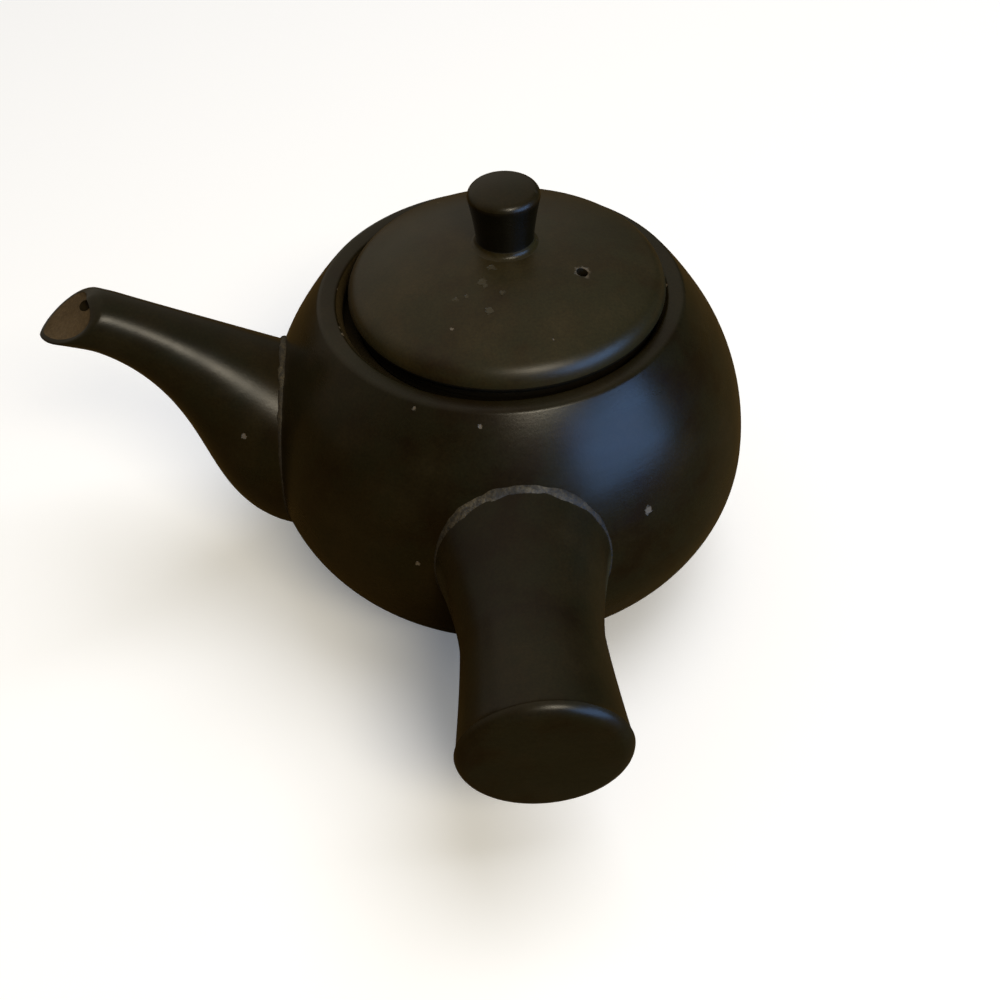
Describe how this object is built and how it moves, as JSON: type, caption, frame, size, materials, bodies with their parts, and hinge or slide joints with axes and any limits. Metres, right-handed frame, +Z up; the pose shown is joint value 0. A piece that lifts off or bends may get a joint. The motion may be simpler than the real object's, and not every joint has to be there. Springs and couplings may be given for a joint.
{
  "type": "kyusu teapot",
  "caption": "Round side-handled teapot of dark burnished clay with a curved spout, a hollow handle, a loose domed lid with knob and steam vent, and a pierced strainer inside.",
  "frame": {"origin": "centre of the flat base, on the pot's axis", "axes": "+Z up; the spout points along -X and the handle along -Y"},
  "size_m": [0.1407, 0.1397, 0.0915],
  "materials": {
    "clay": "unglazed, burnished to a satin sheen",
    "slip": "unglazed, matte and slightly rough",
    "inner_clay": "unglazed, matte"
  },
  "bodies": {
    "pot_body": {"pot": "clay", "spout": "clay", "spout_bead": "slip", "strainer": "inner_clay", "handle": "clay", "handle_bead": "slip"},
    "lid_body": {"lid": "clay", "knob": "clay", "knob_bead": "slip"}
  },
  "joints": [
    {"name": "lid_lift", "type": "slide", "parent": "pot_body", "child": "lid_body", "axis": [0, 0, 1], "range_m": [0, 0.05]}
  ]
}
